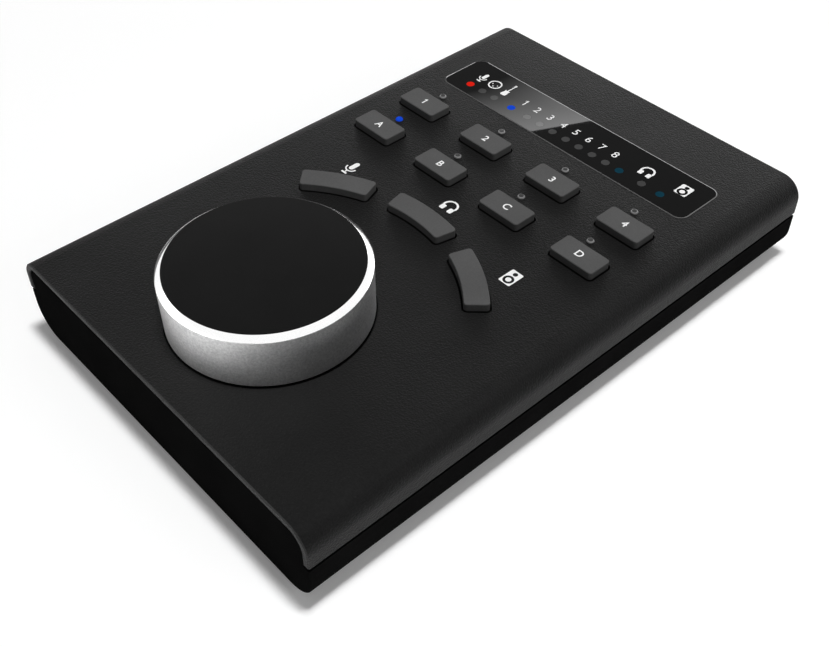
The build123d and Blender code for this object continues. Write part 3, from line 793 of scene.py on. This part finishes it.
# Marks on the shell, outside the arc keys
printed("shell_microphone", microphone(1.0), round_dial(-29.5, 49.45), shell_level, "case")
printed("shell_headphones", headphones(1.0), round_dial(0.65, 57.9), shell_level, "case")
printed("shell_loudspeaker", loudspeaker(3.65, 5.35), round_dial(30.65, 49.8), shell_level, "case")

# Key legends
for legend in "1234ABCD":
    key = f"key_{legend.lower()}"
    x, y = middle_of(key)
    figure(f"{key}_legend", legend, 2.3, 0.05, (x / MM, y / MM), top_of(key), key)

# Contacts on both faces of the socket's tongue
tongue_low, tongue_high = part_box("usb_socket_tongue")
contact_count = 12
contact_pitch = 0.5 * MM
contact_width = 0.28 * MM
contact_length = 3.8 * MM
contact_rise = 0.02 * MM
contact_inset = 0.5 * MM
contact_verts = []
contact_faces = []
tongue_middle = (tongue_low[0] + tongue_high[0]) / 2
contact_rear = tongue_high[1] - contact_inset
contact_front = contact_rear - contact_length
contact_ends = ((-1, contact_front), (1, contact_front), (1, contact_rear), (-1, contact_rear))
for face_height, rise in ((tongue_high[2], contact_rise), (tongue_low[2], -contact_rise)):
    for contact in range(contact_count):
        x = tongue_middle + (contact - (contact_count - 1) / 2) * contact_pitch
        first = len(contact_verts)
        for z in (face_height - rise, face_height + rise):
            for side, y in contact_ends:
                contact_verts.append((x + side * contact_width / 2, y, z))
        loop = [(0, 3, 2, 1), (4, 5, 6, 7), (0, 1, 5, 4), (1, 2, 6, 5), (2, 3, 7, 6), (3, 0, 4, 7)]
        if rise < 0:
            loop = [tuple(reversed(face)) for face in loop]
        contact_faces += [tuple(first + corner for corner in face) for face in loop]
contact_mesh = bpy.data.meshes.new("socket_contacts")
contact_mesh.from_pydata(contact_verts, [], contact_faces)
add_piece("socket_contacts", contact_mesh, contact_gold, "case")

# Studio: floor, world, lamps, camera, and the cards that shiny pieces mirror

scene = bpy.context.scene
scene.view_settings.view_transform = "Standard"
dark_level = 0.15
wall_level = 1.05


def seen_directly(tree, kinds):
    """Mask of the rays by which the eye sees a surface, straight or in metal and glass."""
    rays = tree.nodes.new("ShaderNodeLightPath")
    mask = rays.outputs[kinds[0]]
    for kind in kinds[1:]:
        mask = combine(tree, "MAXIMUM", mask, rays.outputs[kind])
    return mask


# The floor is lit paper near the object, and plain white to the eye farther out
floor_half = 4.0
floor_glow = 0.125
white_from = 0.13
white_beyond = 0.3
floor_mesh = bpy.data.meshes.new("studio_floor")
floor_corners = [(x * floor_half, y * floor_half, 0.0) for x, y in ((-1, -1), (1, -1), (1, 1), (-1, 1))]
floor_mesh.from_pydata(floor_corners, [], [(0, 1, 2, 3)])
studio_floor = bpy.data.objects.new("studio_floor", floor_mesh)
scene.collection.objects.link(studio_floor)
floor_finish = bpy.data.materials.new("studio_floor")
floor_finish.use_nodes = True
floor_tree = floor_finish.node_tree
floor_tree.nodes.remove(floor_tree.nodes["Principled BSDF"])
paper = floor_tree.nodes.new("ShaderNodeBsdfDiffuse")
paper.inputs["Color"].default_value = (0.95, 0.95, 0.95, 1.0)
white = floor_tree.nodes.new("ShaderNodeEmission")
glow = floor_tree.nodes.new("ShaderNodeEmission")
glow.inputs["Strength"].default_value = floor_glow
near = floor_tree.nodes.new("ShaderNodeAddShader")
floor_tree.links.new(paper.outputs["BSDF"], near.inputs[0])
floor_tree.links.new(glow.outputs["Emission"], near.inputs[1])
floor_place = floor_tree.nodes.new("ShaderNodeTexCoord").outputs["Object"]
away = floor_tree.nodes.new("ShaderNodeVectorMath")
away.operation = "LENGTH"
floor_tree.links.new(floor_place, away.inputs[0])
far_share = remap(floor_tree, away.outputs["Value"], white_from, white_beyond, 0.0, 1.0)
eye_rays = ("Is Camera Ray", "Is Glossy Ray", "Is Transmission Ray")
seen_far = combine(floor_tree, "MULTIPLY", far_share, seen_directly(floor_tree, eye_rays))
floor_mix = floor_tree.nodes.new("ShaderNodeMixShader")
floor_tree.links.new(seen_far, floor_mix.inputs["Fac"])
floor_tree.links.new(near.outputs["Shader"], floor_mix.inputs[1])
floor_tree.links.new(white.outputs["Emission"], floor_mix.inputs[2])
floor_tree.links.new(floor_mix.outputs["Shader"], floor_tree.nodes["Material Output"].inputs["Surface"])
floor_mesh.materials.append(floor_finish)

# The world is white to the eye and dim to diffuse light; in mirrors it is a room that is bright low down
# behind the object, above the table on the camera's side, and at both sides
world = bpy.data.worlds.new("studio")
scene.world = world
world.use_nodes = True
world_tree = world.node_tree
sky = world_tree.nodes["Background"]
direction = world_tree.nodes.new("ShaderNodeTexCoord").outputs["Generated"]
split = world_tree.nodes.new("ShaderNodeSeparateXYZ")
world_tree.links.new(direction, split.inputs["Vector"])
sky.inputs["Color"].default_value = (1.0, 1.0, 1.0, 1.0)


def world_share(way):
    """Share of the direction that lies along a level vector."""
    node = world_tree.nodes.new("ShaderNodeVectorMath")
    node.operation = "DOT_PRODUCT"
    node.inputs[1].default_value = way
    world_tree.links.new(direction, node.inputs[0])
    return node.outputs["Value"]


turn = radians(camera_turn)
facing = world_share((sin(turn), -cos(turn), 0.0))
aside = combine(world_tree, "ABSOLUTE", world_share((cos(turn), sin(turn), 0.0)), 0.0)
low_down = remap(world_tree, split.outputs["Z"], 0.12, 0.4, 1.0, dark_level)
behind = remap(world_tree, facing, -0.2, 0.2, 1.0, 0.25)
low_room = combine(world_tree, "MULTIPLY", low_down, behind)
above_table = remap(world_tree, split.outputs["Z"], 0.1, 0.35, 0.25, 1.0)
near_wall = remap(world_tree, facing, -0.35, -0.05, dark_level, wall_level)
near_room = combine(world_tree, "MULTIPLY", near_wall, above_table)
side_walls = remap(world_tree, aside, 0.3, 0.5, dark_level, wall_level)
room = combine(world_tree, "MAXIMUM", combine(world_tree, "MAXIMUM", low_room, near_room), side_walls)
fill_level = 0.16
mirrored = seen_directly(world_tree, ("Is Glossy Ray", "Is Transmission Ray"))
indirect = remap(world_tree, mirrored, 0.0, 1.0, fill_level, room)
camera_ray = seen_directly(world_tree, ("Is Camera Ray",))
world_tree.links.new(remap(world_tree, camera_ray, 0.0, 1.0, indirect, 1.0), sky.inputs["Strength"])


def toward(azimuth, elevation):
    """Unit vector from the object to an azimuth and an elevation; azimuth 0 is the front."""
    a, e = radians(azimuth), radians(elevation)
    return Vector((sin(a) * cos(e), -cos(a) * cos(e), sin(e)))


lamp_aim = Vector((0.0, 0.0, 0.02))


def softbox(name, azimuth, elevation, distance, width, height, power):
    """Rectangular lamp aimed at the middle of the object, for its diffuse light alone."""
    lamp = bpy.data.lights.new(name, "AREA")
    lamp.shape = "RECTANGLE"
    lamp.size = width
    lamp.size_y = height
    lamp.energy = power
    item = bpy.data.objects.new(name, lamp)
    back = toward(azimuth, elevation)
    item.location = lamp_aim + back * distance
    item.rotation_euler = back.to_track_quat("Z", "Y").to_euler()
    item.visible_glossy = False
    scene.collection.objects.link(item)


softbox("overhead_softbox", 117.6, 85.0, 1.2, 0.125, 0.22, 11.5)
softbox("right_softbox", 100.0, 25.0, 0.9, 0.5, 0.5, 1.1)

camera_data = bpy.data.cameras.new("photo_camera")
camera_data.sensor_fit = "HORIZONTAL"
camera_data.sensor_width = sensor_width
camera_data.lens = focal_pixels * sensor_width / image_width
camera_data.clip_start = 0.01
camera = bpy.data.objects.new("photo_camera", camera_data)
camera.location = camera_place
camera.rotation_euler = Euler((radians(camera_tilt), radians(camera_lean), radians(camera_turn)), "XYZ")
scene.collection.objects.link(camera)
scene.camera = camera

# Cards that only mirror rays see: a slanted one for the window, the others for the dial and the edges


def mirrored_card(name, corners, shades, level):
    """Glowing quadrilateral that only mirror rays see, its glow following the corners' shades."""
    mesh = bpy.data.meshes.new(name)
    mesh.from_pydata(corners, [], [(0, 1, 2, 3)])
    for loop, shade in zip(mesh.uv_layers.new(name="shade").data, shades):
        loop.uv = (shade, 0.5)
    card = bpy.data.objects.new(name, mesh)
    scene.collection.objects.link(card)
    card.visible_camera = False
    card.visible_diffuse = False
    card.visible_shadow = False
    finish = bpy.data.materials.new(name)
    finish.use_nodes = True
    tree = finish.node_tree
    tree.nodes.remove(tree.nodes["Principled BSDF"])
    light = tree.nodes.new("ShaderNodeEmission")
    across = tree.nodes.new("ShaderNodeSeparateXYZ")
    tree.links.new(tree.nodes.new("ShaderNodeTexCoord").outputs["UV"], across.inputs["Vector"])
    tree.links.new(remap(tree, across.outputs["X"], 0.0, 1.0, dark_level, level), light.inputs["Strength"])
    tree.links.new(light.outputs["Emission"], tree.nodes["Material Output"].inputs["Surface"])
    mesh.materials.append(finish)


window_card_distance = 0.3
window_card_level = 2.8
window_card_shades = (-0.45, 1.0, 1.0, -0.45)
window_card_marks = ((-49.0, -11.1), (-9.75, -11.1), (0.87, 10.9), (-49.0, 10.9))
mirror_eye = Vector((camera_place.x, camera_place.y, 2 * window_level - camera_place.z))
window_card_corners = []
for mark in window_card_marks:
    x, y = on_window(*mark)
    spot = Vector((x * MM, y * MM, window_level))
    window_card_corners.append(spot + (spot - mirror_eye).normalized() * window_card_distance)
mirrored_card("window_card", window_card_corners, window_card_shades, window_card_level)

# Upright cards: azimuth and shade of each end, lower and upper elevation, level
upright_cards = {
    "front_left_card": ((-62.0, 0.7), (-18.0, 1.0), (2.0, 34.0), 2.2),
    "front_right_card": ((-18.0, 1.0), (34.0, 0.05), (2.0, 34.0), 2.2),
    "left_rear_card": ((226.0, 1.0), (258.0, 1.0), (0.5, 14.0), 4.0),
}
upright_card_distance = 0.5
for name, ((start, start_shade), (end, end_shade), (low, high), level) in upright_cards.items():
    ways = ((start, low), (end, low), (end, high), (start, high))
    corners = [toward(*way) * upright_card_distance for way in ways]
    mirrored_card(name, corners, (start_shade, end_shade, end_shade, start_shade), level)

rear_card_gap = 0.12
rear_card_level = 2.5
rear_card_y = solid_box[1][1] + rear_card_gap
rear_card_marks = ((-0.25, 0.03), (0.1, 0.03), (0.1, 0.11), (-0.25, 0.11))
rear_card_corners = [Vector((x, rear_card_y, z)) for x, z in rear_card_marks]
mirrored_card("rear_card", rear_card_corners, (1.0, 1.0, 1.0, 1.0), rear_card_level)

# Dark flags keep bright floor and walls out of the dial's side: two ends in plan, then the top
flags = {
    "right_flag": ((0.13, -0.11), (0.13, 0.35), 0.095),
    "left_flag": ((-0.12, -0.2), (-0.12, 0.2), 0.03),
}
for name, (start, end, top) in flags.items():
    flag_corners = [(*start, 0.0), (*end, 0.0), (*end, top), (*start, top)]
    mirrored_card(name, flag_corners, (0.0, 0.0, 0.0, 0.0), dark_level)
